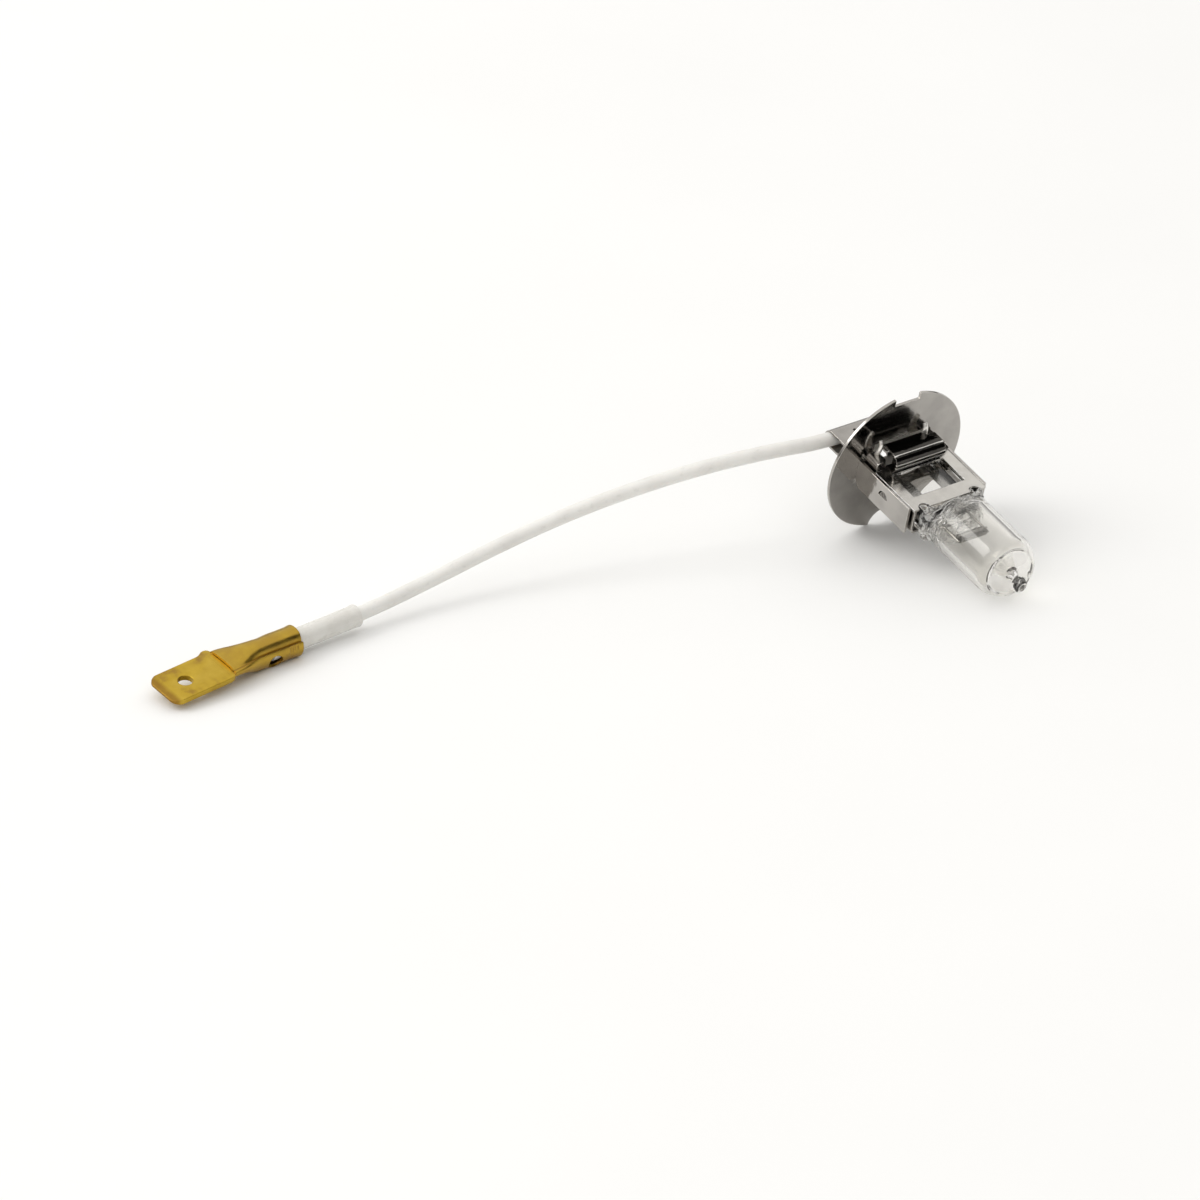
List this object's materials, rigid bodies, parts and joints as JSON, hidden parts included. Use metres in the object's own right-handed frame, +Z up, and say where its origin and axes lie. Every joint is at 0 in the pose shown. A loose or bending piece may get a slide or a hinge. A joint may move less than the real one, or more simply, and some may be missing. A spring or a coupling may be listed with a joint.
{
  "type": "headlight bulb",
  "caption": "Halogen headlight bulb: tubular glass with a filament across it, a stamped flange base and a flexible lead that ends in a push-on blade.",
  "frame": {"origin": "under the middle of the lamp without its lead, on the surface the lamp lies on", "axes": "+X towards the tip of the glass, +Y to the lamp's right as seen from behind with the square notch up, +Z up"},
  "size_m": [0.0487, 0.1186, 0.021],
  "materials": {
    "glass": "clear polished",
    "nickel_plate": "bright nickel plate on stamped steel",
    "spring_steel": "bright nickel plate on spring steel",
    "strip_metal": "satin",
    "tungsten": "matt grey",
    "molybdenum": "satin",
    "ceramic": "matt off-white ceramic",
    "lead_cover": "smooth white fluoropolymer",
    "copper": "tinned stranded copper",
    "sleeve": "translucent white tubing",
    "brass": "bright stamped brass"
  },
  "bodies": {
    "root": {"glass_envelope": "glass", "filament_coil": "tungsten", "flange_disc": "nickel_plate", "yoke": "nickel_plate", "cradle_body": "nickel_plate", "cradle_top": "nickel_plate", "pinch_clip": "spring_steel", "seal_stop": "spring_steel", "contact_strip": "strip_metal", "earth_strip": "strip_metal", "rear_hood": "nickel_plate", "insulator_block": "ceramic", "splice_ferrule": "brass", "inner_wire_left": "molybdenum", "inner_wire_right": "molybdenum", "seal_foil_left": "molybdenum", "seal_foil_right": "molybdenum", "outer_wire_left": "molybdenum", "outer_wire_right": "molybdenum", "lead_insulation": "lead_cover", "lead_conductor": "copper", "end_sleeve": "sleeve", "blade_terminal": "brass"}
  },
  "joints": []
}
